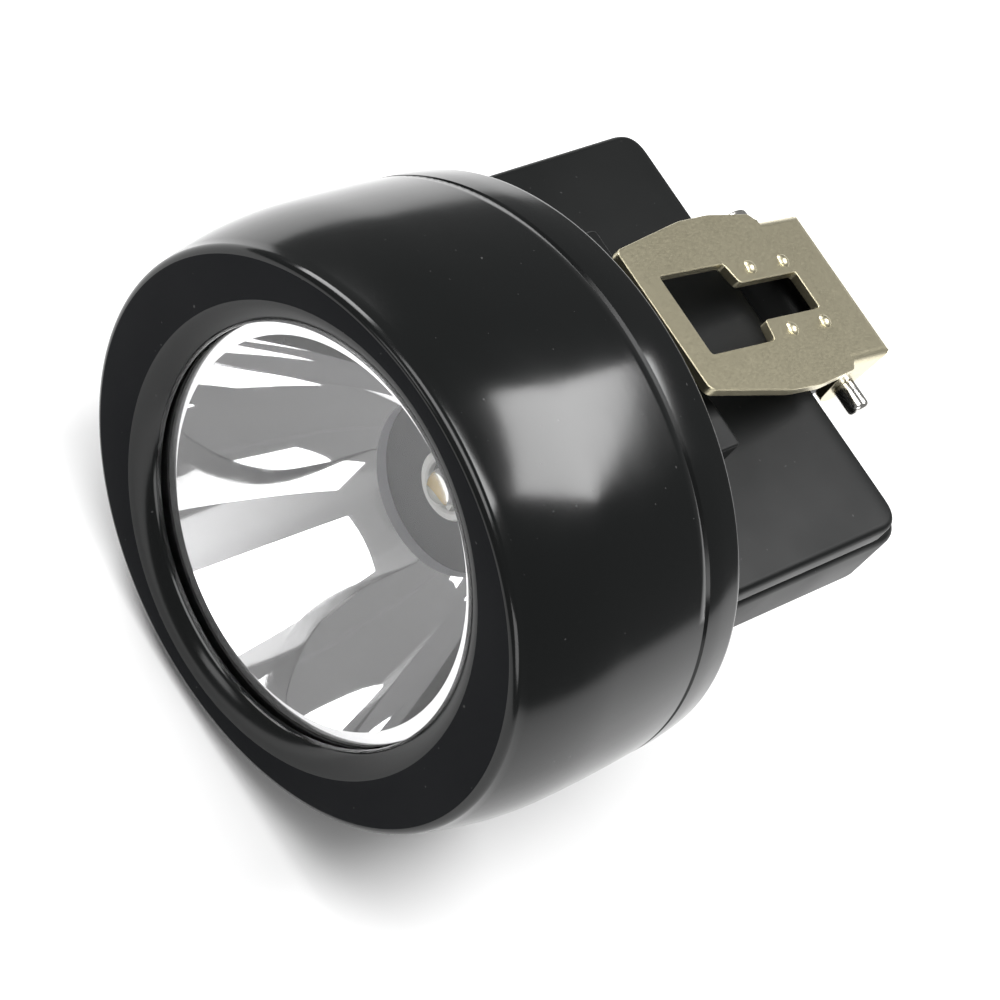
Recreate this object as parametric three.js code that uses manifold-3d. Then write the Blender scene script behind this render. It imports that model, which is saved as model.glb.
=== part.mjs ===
// Cordless miner's cap lamp, in millimetres, +Z up.
// The origin is where the optical axis meets the front rim plane. Light leaves along -Y.
// The back of the lamp is +Y, and the hinged helmet clip lies over the body on +Z.

import * as THREE from 'three';
import { mergeVertices } from 'three/addons/utils/BufferGeometryUtils.js';
import Module from 'manifold-3d';

const wasm = await Module();
wasm.setup();

// ---------------------------------------------------------------- driving sizes

const HEAD_HALF_WIDTH = 36;       // at the bezel seam, across X
const OVAL = 0.857;               // head height over head width
const WALL = 2.6;
const SEGMENTS = 56;

const SEAM_Y = 29.2;              // bezel to case joint
const HEAD_END_Y = 35.7;          // back wall of the head
const CREASE = 34.3;              // half width at the front edge
const BULGE = 36.5;               // half width at the fullest point of the bezel
const HEAD_END = 35.5;            // half width at the back of the band

const APERTURE_R = 24.2;          // round window in the oval bezel
const LIP_BACK_Y = 2.3;
const LENS_R = 26.8;
const LENS_FRONT_Y = 2.6;
const LENS_THICK = 1;
const MIRROR_MOUTH_R = 22.5;
const MIRROR_NECK_R = 10.5;
const MIRROR_NECK_Y = 23.4;
const MIRROR_WALL = 1.2;
const BOARD_Y = 25.05;            // front face of the LED board
const BOARD_THICK = 1.6;
const BOARD_R = 13.4;
const WIRE_START_Z = 12.7;        // on the board, outside the reflector's neck

const BODY_HALF_WIDTH = 28.7;     // wide part of the rear body
const BODY_START_Y = 33;          // front face, inside the head
const BODY_END_Y = 72.4;
const BODY_BOTTOM_Z = 0.2;
const BODY_TOP_Z = 9.6;
const GASKET_THICK = 1.2;
const COVER_TOP_Z = 14.3;
const COVER_END_Y = 67.8;
const CAVITY_HALF_WIDTH = 25.9;
const CAVITY_END_Y = 65.4;
const BELLY_HALF_WIDTH = 20;      // narrow lower part of the rear body
const BELLY_START_Y = 35.3;       // just inside the back wall of the head
const BELLY_END_Y = 64;
const BELLY_BOTTOM_Z = -31.3;
const BELLY_WALL = 2;
const FLOOR_THICK = 1.8;
const LEDGE_HALF_WIDTH = 15;      // step behind the head, under the clip's front edge
const LEDGE_END_Y = 44;
const LEDGE_TOP_Z = 22;

const PIN_Y = 74;                 // clip hinge, along X
const PIN_Z = 13;
const PIN_R = 1.2;
const KNUCKLE_R = 3;
const KNUCKLE_FACE = 8.3;         // each end face of the knuckle, across X

const CLIP_TILT = THREE.MathUtils.degToRad(12.6);
const CLIP_THICK = 1.2;
const CLIP_LENGTH = 41.3;
const CLIP_PIN_ALONG = 37.3;      // pin centre from the clip's front edge
const CLIP_PIN_DEPTH = 6.3;       // pin centre below the clip's top face
const PIP_R = 0.95;
const PIP_HEIGHT = 0.45;
const PIP_X = 4.4;
const PIPS_ALONG = [23.6, 31.1];
const EAR_FACE = 10.3;            // outer face of each folded ear, across X
const EAR_R = 3.2;

const CELL_R = 9.15;              // two 18350 cells lying across the belly
const CELL_LENGTH = 35;
const CELL_Y = 45.2;
const CELL_ZS = [-19.3, -0.6];

const BUTTON_R = 4.8;
const BUTTON_Z = -14;
const CONTACT_X = 11;             // charging studs in the back of the belly
const CONTACT_Z = -24;
const CONTACT_R = 1.5;
const CLEARANCE = 0.1;

const COVER_SCREWS = [[-22.3, 41], [22.3, 41], [-22.3, 61.5], [22.3, 61.5]];

// ---------------------------------------------------------------- shape helpers

function signedVolume(geometry) {
  const at = geometry.attributes.position;
  const index = geometry.index;
  const [a, b, c] = [new THREE.Vector3(), new THREE.Vector3(), new THREE.Vector3()];
  let sum = 0;
  for (let i = 0; i < index.count; i += 3) {
    a.fromBufferAttribute(at, index.getX(i));
    b.fromBufferAttribute(at, index.getX(i + 1));
    c.fromBufferAttribute(at, index.getX(i + 2));
    sum += a.dot(b.cross(c));
  }
  return sum / 6;
}

// One closed solid facing outwards, ready for joins and cuts.
function solid(geometry) {
  geometry.deleteAttribute('normal');
  geometry.deleteAttribute('uv');
  const merged = mergeVertices(geometry, 1e-4);
  const triangles = Array.from(merged.index.array);
  if (signedVolume(merged) < 0) {
    triangles.reverse();
  }
  return new wasm.Manifold(new wasm.Mesh({
    numProp: 3,
    vertProperties: new Float32Array(merged.attributes.position.array),
    triVerts: new Uint32Array(triangles),
  }));
}

function joined(pieces) {
  return pieces.reduce((whole, piece) => whole.add(piece));
}

function without(body, cuts) {
  return cuts.reduce((whole, cut) => whole.subtract(cut), body);
}

// Corner points in [radius, y] turned about the optical axis, flattened in Z by `oval`.
function turned(profile, oval = 1, segments = SEGMENTS) {
  const points = profile.map(([radius, y]) => new THREE.Vector2(radius, y));
  points.push(points[0].clone());
  return solid(new THREE.LatheGeometry(points, segments).scale(1, 1, oval));
}

function ring(inner, outer, y0, y1, oval = 1, segments = SEGMENTS) {
  return turned([[inner, y0], [outer, y0], [outer, y1], [inner, y1]], oval, segments);
}

function disc(radius, y0, y1, oval = 1, segments = SEGMENTS) {
  return turned([[0, y0], [radius, y0], [radius, y1], [0, y1]], oval, segments);
}

// Points on a circle arc, from one angle to another in degrees.
function arc(cx, cy, radius, from, to, steps = 4) {
  return Array.from({ length: steps + 1 }, (_, i) => {
    const angle = THREE.MathUtils.degToRad(from + (to - from) * i / steps);
    return [cx + radius * Math.cos(angle), cy + radius * Math.sin(angle)];
  });
}

function shapeOf(points) {
  return new THREE.Shape(points.map(([u, v]) => new THREE.Vector2(u, v)));
}

// Rectangle with its own radius at the near (low v) and far (high v) corners.
function roundedRectangle(u0, u1, v0, v1, nearRadius, farRadius) {
  return shapeOf([
    ...arc(u1 - farRadius, v1 - farRadius, farRadius, 0, 90),
    ...arc(u0 + farRadius, v1 - farRadius, farRadius, 90, 180),
    ...arc(u0 + nearRadius, v0 + nearRadius, nearRadius, 180, 270),
    ...arc(u1 - nearRadius, v0 + nearRadius, nearRadius, 270, 360),
  ]);
}

// A flat outline in X and Y made solid from z0 up to z1. A bevel rounds both faces.
function upright(shape, z0, z1, bevel = 0) {
  const geometry = new THREE.ExtrudeGeometry(shape, {
    depth: z1 - z0 - 2 * bevel,
    bevelEnabled: bevel > 0,
    bevelThickness: bevel,
    bevelSize: bevel,
    bevelOffset: -bevel,
    bevelSegments: 2,
    curveSegments: 8,
  });
  return solid(geometry.translate(0, 0, z0 + bevel));
}

// A flat outline in Y and Z made solid from x0 across to x1.
function across(shape, x0, x1) {
  const geometry = new THREE.ExtrudeGeometry(shape, {
    depth: x1 - x0, bevelEnabled: false, curveSegments: 8,
  });
  const toSide = new THREE.Matrix4().makeBasis(
    new THREE.Vector3(0, 1, 0), new THREE.Vector3(0, 0, 1), new THREE.Vector3(1, 0, 0));
  return solid(geometry.applyMatrix4(toSide).translate(x0, 0, 0));
}

function block(x0, x1, y0, y1, z0, z1) {
  const geometry = new THREE.BoxGeometry(x1 - x0, y1 - y0, z1 - z0);
  return solid(geometry.translate((x0 + x1) / 2, (y0 + y1) / 2, (z0 + z1) / 2));
}

// A turned profile in [radius, along], laid along X at (y, z).
function turnedAcross(profile, y, z, segments = 24) {
  return turned(profile, 1, segments).rotate([0, 0, -90]).translate([0, y, z]);
}

function rodAcross(radius, x0, x1, y, z, segments = 24) {
  return turnedAcross([[0, x0], [radius, x0], [radius, x1], [0, x1]], y, z, segments);
}

function rodUp(radius, x, y, z0, z1, segments = 16) {
  return disc(radius, z0, z1, 1, segments).rotate([90, 0, 0]).translate([x, y, 0]);
}

function rodBack(radius, x, z, y0, y1, segments = 28) {
  return disc(radius, y0, y1, 1, segments).translate([x, 0, z]);
}

const lamp = new THREE.Group();
lamp.name = 'miners_cap_lamp';

function place(name, body, color, roughness, metalness = 0, extra = {}) {
  const mesh = body.getMesh();
  const geometry = new THREE.BufferGeometry();
  geometry.setAttribute('position', new THREE.BufferAttribute(mesh.vertProperties, 3));
  geometry.setIndex(new THREE.BufferAttribute(mesh.triVerts, 1));
  geometry.computeVertexNormals();
  const material = new THREE.MeshStandardMaterial({ color, roughness, metalness, ...extra });
  const node = new THREE.Mesh(geometry, material);
  node.name = name;
  lamp.add(node);
}

// ---------------------------------------------------------------- head

// Half width of the bezel: a curve through the crease, the bulge and the seam.
function bezelHalfWidth(y) {
  const middle = SEAM_Y / 2;
  const t = (y - middle) / middle;
  const side = t < 0 ? CREASE : HEAD_HALF_WIDTH;
  return BULGE - (BULGE - side) * t * t;
}

function frontBezel() {
  const edge = 1.2;
  const steps = 7;
  const side = Array.from({ length: steps }, (_, i) => {
    const y = edge + (SEAM_Y - edge) * i / (steps - 1);
    return [bezelHalfWidth(y), y];
  });
  const rounded = arc(side[0][0] - edge, edge, edge, -90, -12, 3);
  const outside = turned([[0, 0], ...rounded, ...side, [0, SEAM_Y]], OVAL);
  const window = turned([
    [0, -1], [26.6, -1], [26.6, 0.15], [25.6, 0.55], [24.6, 1.25], [APERTURE_R, 1.9],
    [APERTURE_R, 4], [0, 4],
  ]);
  const lensSeat = disc(LENS_R + CLEARANCE, LIP_BACK_Y, 8);
  const inside = turned([
    [0, 7], [28, 7], [31.2, 10], [BULGE - WALL, 16], [HEAD_HALF_WIDTH - WALL, 24],
    [HEAD_HALF_WIDTH - WALL, SEAM_Y + 1], [0, SEAM_Y + 1],
  ], OVAL);
  return without(outside, [window, lensSeat, inside]);
}

function lens() {
  const back = LENS_FRONT_Y + LENS_THICK;
  const edge = 0.3;
  return turned([
    [0, LENS_FRONT_Y], [LENS_R - edge, LENS_FRONT_Y], [LENS_R, LENS_FRONT_Y + edge],
    [LENS_R, back - edge], [LENS_R - edge, back], [0, back],
  ]);
}

// Parabolic bowl with a flat rim, and a straight neck round the LED.
function reflector() {
  const rimY = LENS_FRONT_Y + LENS_THICK + 0.05;
  const steps = 9;
  const depthPerSquare = (MIRROR_NECK_Y - rimY) / (MIRROR_MOUTH_R ** 2 - MIRROR_NECK_R ** 2);
  const bowl = Array.from({ length: steps + 1 }, (_, i) => {
    const r = MIRROR_MOUTH_R + (MIRROR_NECK_R - MIRROR_MOUTH_R) * i / steps;
    return [r, rimY + depthPerSquare * (MIRROR_MOUTH_R ** 2 - r ** 2)];
  });
  const outside = bowl.filter((_, i) => i % 3 === 1).map(([r, y]) => [r + MIRROR_WALL, y + 0.4]).reverse();
  return turned([
    ...bowl, [MIRROR_NECK_R, BOARD_Y - CLEARANCE], [MIRROR_NECK_R + MIRROR_WALL, BOARD_Y - CLEARANCE],
    [MIRROR_NECK_R + MIRROR_WALL, MIRROR_NECK_Y], ...outside,
    [MIRROR_MOUTH_R + MIRROR_WALL, rimY + MIRROR_WALL], [LENS_R, rimY + MIRROR_WALL], [LENS_R, rimY],
  ]);
}

function ledBoard() {
  const notch = angle => rodBack(1.6, BOARD_R * Math.cos(angle), BOARD_R * Math.sin(angle),
    BOARD_Y - 1, BOARD_Y + BOARD_THICK + 1, 16);
  const notches = Array.from({ length: 6 }, (_, i) => notch((i + 0.5) * Math.PI / 3));
  return without(disc(BOARD_R, BOARD_Y, BOARD_Y + BOARD_THICK, 1, 48), notches);
}

function ledDome(baseY) {
  const radius = 2.2;
  return turned([[0, baseY], ...arc(0, baseY, radius, 0, -75, 5), [0, baseY - radius]], 1, 24);
}

function heatSink() {
  const y0 = BOARD_Y + BOARD_THICK + 0.05;
  const fins = Array.from({ length: 4 }, (_, i) => {
    const x = -7.5 + 5 * i;
    return block(x - 0.8, x + 0.8, y0 + 2, y0 + 6, -9, 9);
  });
  return joined([disc(13, y0, y0 + 2.4, 1, 48), ...fins]);
}

// A thin insulated wire from the LED board, round the heat sink, to the driver board.
function ledWire(x) {
  const path = new THREE.CatmullRomCurve3([
    [x, 24.45, WIRE_START_Z], [x, 24.2, 14.6], [x, 28, 15.5], [x, 32, 12], [x, 35, 8], [x, 39.5, 8.5],
  ].map(point => new THREE.Vector3(...point)));
  const section = shapeOf(arc(0, 0, 0.5, 0, 300, 5));
  return solid(new THREE.ExtrudeGeometry(section, { steps: 10, extrudePath: path }));
}

// ---------------------------------------------------------------- rear body

function headBand() {
  return turned([
    [0, SEAM_Y + 0.05], [HEAD_HALF_WIDTH, SEAM_Y + 0.05], [35.8, 32.5], [HEAD_END, 34.7],
    [HEAD_END - 0.3, 35.4], [HEAD_END - 1, HEAD_END_Y], [0, HEAD_END_Y],
  ], OVAL);
}

function knuckle(x0, x1) {
  const outline = shapeOf([
    [68.4, 8.5], [68.4, 10.5], ...arc(PIN_Y, PIN_Z, KNUCKLE_R, 150, -40, 10), [72.4, 4], [71, 4],
  ]);
  return without(across(outline, x0, x1), [rodAcross(PIN_R + CLEARANCE, x0 - 1, x1 + 1, PIN_Y, PIN_Z)]);
}

function screwBoss([x, y]) {
  return rodUp(2.6, x, y, BODY_BOTTOM_Z + 1, BODY_TOP_Z + 0.9);
}

function rearCase() {
  const inner = CAVITY_HALF_WIDTH;
  const spigotR = HEAD_HALF_WIDTH - WALL - 1.2;
  const ledge = block(-LEDGE_HALF_WIDTH, LEDGE_HALF_WIDTH, HEAD_END_Y - 1, LEDGE_END_Y,
    COVER_TOP_Z + 0.3, LEDGE_TOP_Z);
  const body = upright(
    roundedRectangle(-BODY_HALF_WIDTH, BODY_HALF_WIDTH, BODY_START_Y, BODY_END_Y, 1.5, 4),
    BODY_BOTTOM_Z, BODY_TOP_Z, 1.2);
  const belly = upright(
    roundedRectangle(-BELLY_HALF_WIDTH, BELLY_HALF_WIDTH, BELLY_START_Y, BELLY_END_Y, 2, 5),
    BELLY_BOTTOM_Z, BODY_BOTTOM_Z + 3, 1.5);
  const outside = joined([
    headBand(), disc(spigotR, SEAM_Y - 3, SEAM_Y + 0.5, OVAL), ledge, body, belly,
    knuckle(-KNUCKLE_FACE, KNUCKLE_FACE),
  ]);
  const bodyCavity = without(
    block(-inner, inner, BODY_START_Y, CAVITY_END_Y, BODY_BOTTOM_Z + FLOOR_THICK, BODY_TOP_Z + 0.05),
    COVER_SCREWS.map(screwBoss));
  const bellyInner = BELLY_HALF_WIDTH - BELLY_WALL;
  const bellyCavity = block(-bellyInner, bellyInner, BODY_START_Y, BELLY_END_Y - BELLY_WALL,
    BELLY_BOTTOM_Z + FLOOR_THICK, BODY_BOTTOM_Z + 3);
  const screwHoles = COVER_SCREWS.flatMap(([x, y]) => [
    rodUp(1.35, x, y, -1, BODY_TOP_Z + 2), rodUp(2.5, x, y, -1, BODY_BOTTOM_Z + 1.5),
  ]);
  const contactHoles = [-CONTACT_X, CONTACT_X].map(x =>
    rodBack(CONTACT_R + CLEARANCE, x, CONTACT_Z, BELLY_END_Y - 4, BELLY_END_Y + 1));
  return without(outside, [
    disc(spigotR - FLOOR_THICK, SEAM_Y - 4, HEAD_END_Y - FLOOR_THICK, OVAL), bodyCavity, bellyCavity,
    ...screwHoles, ...contactHoles,
    rodBack(BUTTON_R + 0.3, 0, BUTTON_Z, BELLY_END_Y - 4, BELLY_END_Y + 1),
  ]);
}

function topCover() {
  const z0 = BODY_TOP_Z + GASKET_THICK;
  const plate = upright(
    roundedRectangle(-BODY_HALF_WIDTH, BODY_HALF_WIDTH, HEAD_END_Y + 0.1, COVER_END_Y, 1, 3.2),
    z0, COVER_TOP_Z, 0.8);
  const pocket = block(-19, 19, 38, 65, z0 - 1, z0 + 1.5);
  const pilots = COVER_SCREWS.map(([x, y]) => rodUp(1.1, x, y, z0 - 1, z0 + 2.2));
  return without(plate, [pocket, ...pilots]);
}

function coverGasket() {
  const [z0, z1] = [BODY_TOP_Z + 0.03, BODY_TOP_Z + GASKET_THICK - 0.03];
  const outside = upright(roundedRectangle(-27.4, 27.4, HEAD_END_Y + 0.2, 66.9, 1, 3), z0, z1);
  const inside = block(-CAVITY_HALF_WIDTH, CAVITY_HALF_WIDTH, 37.5, CAVITY_END_Y, z0 - 1, z1 + 1);
  return without(outside, [inside]);
}

function coverScrew([x, y]) {
  const head = rodUp(2.2, x, y, BODY_BOTTOM_Z + 0.2, BODY_BOTTOM_Z + 1.45);
  const shank = rodUp(1, x, y, BODY_BOTTOM_Z + 1, 12.7);
  const slot = block(x - 1.6, x + 1.6, y - 0.25, y + 0.25, BODY_BOTTOM_Z, BODY_BOTTOM_Z + 0.8);
  const crossSlot = block(x - 0.25, x + 0.25, y - 1.6, y + 1.6, BODY_BOTTOM_Z, BODY_BOTTOM_Z + 0.8);
  return without(joined([head, shank]), [slot, crossSlot]);
}

function batteryCell(z) {
  const half = CELL_LENGTH / 2;
  const edge = 0.6;
  return turnedAcross([
    [0, -half], [CELL_R - edge, -half], [CELL_R, -half + edge], [CELL_R, half - 1.4],
    [CELL_R - edge, half - 0.8], [3, half - 0.8], [3, half], [0, half],
  ], CELL_Y, z, 28);
}

function cellSaddle(x0, x1) {
  const plate = block(x0, x1, CELL_Y - 9.7, CELL_Y + 9.7, BELLY_BOTTOM_Z + 1.9, 8.8);
  return without(plate, CELL_ZS.map(z => rodAcross(CELL_R + CLEARANCE, x0 - 1, x1 + 1, CELL_Y, z, 28)));
}

function button() {
  const tip = 1.4;
  const wallY = BELLY_END_Y;
  return joined([
    disc(BUTTON_R, 61.6, wallY + 0.6, 1, 28),
    turned([[0, wallY + 0.5], [BUTTON_R, wallY + 0.5], [BUTTON_R, wallY + 0.6],
      [BUTTON_R - 0.5, wallY + 1.2], [BUTTON_R - 1.6, wallY + tip], [0, wallY + tip]], 1, 28),
  ]).translate([0, 0, BUTTON_Z]);
}

function switchBody() {
  const box = block(-3, 3, 56.45, 60.2, BUTTON_Z - 3, BUTTON_Z + 3);
  return without(box, [rodBack(1.9, 0, BUTTON_Z, 58.2, 61)]);
}

function chargeContact(x) {
  return turned([
    [0, 59.6], [1, 59.6], [1, 60.9], [2.6, 60.9], [2.6, 61.9], [CONTACT_R, 61.9],
    [CONTACT_R, BELLY_END_Y + 0.1], [1.1, BELLY_END_Y + 0.4], [0, BELLY_END_Y + 0.5],
  ], 1, 20).translate([x, 0, CONTACT_Z]);
}

// ---------------------------------------------------------------- clip

// Outline of the pressed plate in [x, along], mirrored left to right.
function clipOutline() {
  const right = [[9.1, 0], [9.7, 0.7], [11.9, 15.5], [12.1, 22], [11.6, 27], [11.3, 30.4],
    [EAR_FACE, 31.2], [EAR_FACE, CLIP_LENGTH - 0.9], [EAR_FACE - 0.9, CLIP_LENGTH]];
  const left = right.map(([x, along]) => [-x, along]).reverse();
  return shapeOf([...right, ...left]);
}

// T-shaped slot that drops over the helmet bracket: wide part in front, neck behind.
function clipSlot() {
  const right = [[4.9, 4.7], [5.4, 5.2], [5.4, 18.6], [2.6, 19.4], [2.6, 31.6], [2.2, 32]];
  const left = right.map(([x, along]) => [-x, along]).reverse();
  return shapeOf([...right, ...left]);
}

// Side wall folded down from the plate edge to carry the pin, in [along, depth].
function clipEar(x0, x1) {
  const outline = shapeOf([
    [32.4, 0], [32.4, -1.6], ...arc(CLIP_PIN_ALONG, -CLIP_PIN_DEPTH, EAR_R, 200, 350, 9),
    [CLIP_LENGTH - 0.1, -3.5], [CLIP_LENGTH - 0.1, -0.9], [CLIP_LENGTH - 1, 0],
  ]);
  const hole = rodAcross(PIN_R + CLEARANCE, x0 - 1, x1 + 1, CLIP_PIN_ALONG, -CLIP_PIN_DEPTH);
  return without(across(outline, x0, x1), [hole]);
}

// Low rounded pip that stands on the clip's top face.
function clipPip(x, along) {
  const profile = [
    [0, -0.5], [PIP_R, -0.5], [PIP_R, 0], [PIP_R * 0.8, PIP_HEIGHT * 0.55],
    [PIP_R * 0.4, PIP_HEIGHT * 0.9], [0, PIP_HEIGHT],
  ];
  return turned(profile, 1, 16).rotate([90, 0, 0]).translate([x, along, 0]);
}

function clipPlate() {
  const top = upright(clipOutline(), -CLIP_THICK, 0);
  const slot = upright(clipSlot(), -CLIP_THICK - 1, 1);
  const roundedBack = without(
    block(-12, 12, CLIP_LENGTH - 1.5, CLIP_LENGTH + 1, -1.5, 1),
    [rodAcross(1.5, -13, 13, CLIP_LENGTH - 1.5, -1.5)]);
  const backLip = block(-EAR_FACE + 0.4, EAR_FACE - 0.4, CLIP_LENGTH - CLIP_THICK, CLIP_LENGTH, -3.2, -1);
  const pips = PIPS_ALONG.flatMap(along => [-PIP_X, PIP_X].map(x => clipPip(x, along)));
  const flat = joined([
    top, backLip, clipEar(EAR_FACE - CLIP_THICK, EAR_FACE), clipEar(-EAR_FACE, -EAR_FACE + CLIP_THICK),
  ]);
  return joined([without(flat, [slot, roundedBack]), ...pips])
    .translate([0, -CLIP_PIN_ALONG, CLIP_PIN_DEPTH])
    .rotate([-THREE.MathUtils.radToDeg(CLIP_TILT), 0, 0])
    .translate([0, PIN_Y, PIN_Z]);
}

// Headed at the -X end and riveted over at the +X end, outside the clip's ears.
function hingePin() {
  const [headEnd, headFace, tip] = [-14.6, -EAR_FACE - CLEARANCE, 14.1];
  const [headR, rivetR, rivetFace] = [2.4, 1.45, EAR_FACE + 0.15];
  return turnedAcross([
    [0, headEnd], [headR - 0.7, headEnd], [headR - 0.2, headEnd + 0.4], [headR, headEnd + 1],
    [headR, headFace], [PIN_R, headFace], [PIN_R, rivetFace], [rivetR, rivetFace],
    [rivetR, tip - 0.9], [rivetR - 0.3, tip - 0.25], [rivetR - 0.8, tip], [0, tip],
  ], PIN_Y, PIN_Z);
}

function hingeWasher(x0) {
  return turnedAcross([[1.35, x0], [2.9, x0], [2.9, x0 + 0.5], [1.35, x0 + 0.5]], PIN_Y, PIN_Z);
}

// ---------------------------------------------------------------- assembly

const GLOSS_BLACK = 0x0b0c0d;
const RUBBER = 0x151515;
const NICKEL = 0xb3a893;
const STEEL = 0xc8c8c6;
const BOARD_GREEN = 0x1c5a3a;

place('front_bezel', frontBezel(), GLOSS_BLACK, 0.22);
place('bezel_seal', ring(32.3, 33.3, 27, 28.4, OVAL), RUBBER, 0.8);
place('lens_gasket', ring(APERTURE_R + 0.5, LENS_R, LIP_BACK_Y + 0.02, LENS_FRONT_Y - 0.02), RUBBER, 0.8);
place('lens', lens(), 0xf2f6f8, 0.05, 0, { transparent: true, opacity: 0.2 });
place('reflector', reflector(), 0xe6e6e8, 0.06, 1);
place('led_holder', ring(3.1, 4.2, 24, BOARD_Y - 0.03, 1, 28), 0xf4f4ef, 0.5);
place('led_board', ledBoard(), 0xd9d9d2, 0.45);
place('led_package', block(-2.1, 2.1, 24.1, BOARD_Y - 0.03, -2.1, 2.1), 0xe8e6da, 0.4);
place('led_phosphor', block(-1.3, 1.3, 23.95, 24.08, -1.3, 1.3), 0xe2b83c, 0.6);
place('led_dome', ledDome(23.92), 0xfff7d8, 0.05, 0, { transparent: true, opacity: 0.35 });
place('heat_sink', heatSink(), 0xa9adb0, 0.4, 1);
place('led_wire_red', ledWire(2.2), 0xa31f1f, 0.5);
place('led_wire_black', ledWire(-2.2), 0x161616, 0.5);

place('rear_case', rearCase(), GLOSS_BLACK, 0.3);
place('top_cover', topCover(), GLOSS_BLACK, 0.3);
place('cover_gasket', coverGasket(), RUBBER, 0.8);
COVER_SCREWS.forEach((at, i) => place(`cover_screw_${i + 1}`, coverScrew(at), STEEL, 0.35, 1));

CELL_ZS.forEach((z, i) => place(`battery_cell_${i + 1}`, batteryCell(z), 0x2c6aa8, 0.35));
place('cell_saddle_left', cellSaddle(-15.5, -12.5), 0x2a2a2a, 0.6);
place('cell_saddle_right', cellSaddle(12.5, 15.5), 0x2a2a2a, 0.6);
place('driver_board', block(-18.5, 18.5, 38.3, 64.6, 9.1, 10.3), BOARD_GREEN, 0.5);
place('driver_chip', block(-4, 4, 50, 56, 10.33, 11.8), 0x1a1a1a, 0.5);
place('switch_board', block(-9, 9, 55.2, 56.4, -24, -4), BOARD_GREEN, 0.5);
place('switch_body', switchBody(), 0x202020, 0.5);
place('switch_plunger', rodBack(1.7, 0, BUTTON_Z, 59.6, 61.55, 24), 0xe8e8e8, 0.5);
place('switch_button', button(), 0x9c2b22, 0.6);
place('button_seal', ring(BUTTON_R + 0.15, 6.8, 61, 61.95, 1, 28).translate([0, 0, BUTTON_Z]), RUBBER, 0.8);
place('charge_contact_left', chargeContact(-CONTACT_X), 0xd2b25a, 0.25, 1);
place('charge_contact_right', chargeContact(CONTACT_X), 0xd2b25a, 0.25, 1);

place('clip_plate', clipPlate(), NICKEL, 0.35, 1);
place('hinge_pin', hingePin(), STEEL, 0.2, 1);
place('hinge_washer_left', hingeWasher(-8.95), STEEL, 0.35, 1);
place('hinge_washer_right', hingeWasher(8.45), STEEL, 0.35, 1);

// Stand the lamp on z = 0 with the middle of its outline over the origin.
const outline = new THREE.Box3().setFromObject(lamp);
const middle = outline.getCenter(new THREE.Vector3());
lamp.position.set(-middle.x, -middle.y, -outline.min.z);

export default lamp;
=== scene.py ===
"""A miner's cap lamp: fine shapes, materials, light and camera over its CAD frame."""
from math import acos, cos, degrees, pi, radians, sin

import bmesh
import bpy
from mathutils import Matrix, Vector


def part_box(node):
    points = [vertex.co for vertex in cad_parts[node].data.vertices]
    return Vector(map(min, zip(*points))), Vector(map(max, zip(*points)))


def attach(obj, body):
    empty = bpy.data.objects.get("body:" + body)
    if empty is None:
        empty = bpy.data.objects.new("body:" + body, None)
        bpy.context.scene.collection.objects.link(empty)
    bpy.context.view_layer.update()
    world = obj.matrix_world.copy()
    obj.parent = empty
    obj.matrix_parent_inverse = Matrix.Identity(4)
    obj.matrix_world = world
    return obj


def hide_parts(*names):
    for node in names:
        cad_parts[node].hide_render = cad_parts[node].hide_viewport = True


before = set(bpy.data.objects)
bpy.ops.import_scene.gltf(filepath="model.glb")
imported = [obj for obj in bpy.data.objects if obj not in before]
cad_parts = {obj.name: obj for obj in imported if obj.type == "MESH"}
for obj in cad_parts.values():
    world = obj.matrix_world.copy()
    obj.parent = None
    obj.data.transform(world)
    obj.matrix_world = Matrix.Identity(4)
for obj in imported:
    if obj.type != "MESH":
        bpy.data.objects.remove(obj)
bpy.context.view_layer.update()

MM = 0.001


# ------------------------------------------------------------ driving sizes, in millimetres

def light_axis():
    """Where the light's axis meets the front rim, which the sizes below are measured from."""
    low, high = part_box("front_bezel")
    return Vector(((low[0] + high[0]) / 2, low[1], (low[2] + high[2]) / 2))


AXIS = light_axis()


def box_mm(node):
    """The two far corners of a CAD piece, in millimetres from AXIS."""
    low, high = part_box(node)
    return [(c - a) / MM for c, a in zip(low, AXIS)], [(c - a) / MM for c, a in zip(high, AXIS)]


_, BEZEL_HIGH = box_mm("front_bezel")
CASE_LOW, _ = box_mm("rear_case")
COVER_LOW, COVER_HIGH = box_mm("top_cover")
PIN_LOW, PIN_HIGH = box_mm("hinge_pin")
LENS_LOW, LENS_HIGH = box_mm("lens")
MIRROR_LOW, MIRROR_HIGH = box_mm("reflector")
_, DOME_HIGH = box_mm("led_dome")
HOLDER_LOW, HOLDER_HIGH = box_mm("led_holder")
_, BUTTON_HIGH = box_mm("switch_button")

BULGE = BEZEL_HIGH[0]                 # fullest half width of the bezel
OVAL = BEZEL_HIGH[2] / BULGE          # head height over head width
SEAM_Y = BEZEL_HIGH[1]
CREASE = BULGE - 2.2                  # half width at the front edge
SEAM_HALF_WIDTH = BULGE - 0.5
WALL = 2.6
HEAD_END_Y = SEAM_Y + 6.5
APERTURE_R = 24.2
APERTURE_EDGE_R = 27.1                # where the window's rounded edge meets the flat front
LIP_BACK_Y = 2.3
LENS_SEAT_Y = 7                       # back end of the seat round the lens
SPIGOT_R = SEAM_HALF_WIDTH - WALL - 1.2

LENS_R = LENS_HIGH[0]
MIRROR_RIM_Y = MIRROR_LOW[1]
MIRROR_MOUTH_R = 22.5
MIRROR_NECK_R = 10.5
MIRROR_NECK_Y = 23.4
MIRROR_WALL = 1.2

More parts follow.
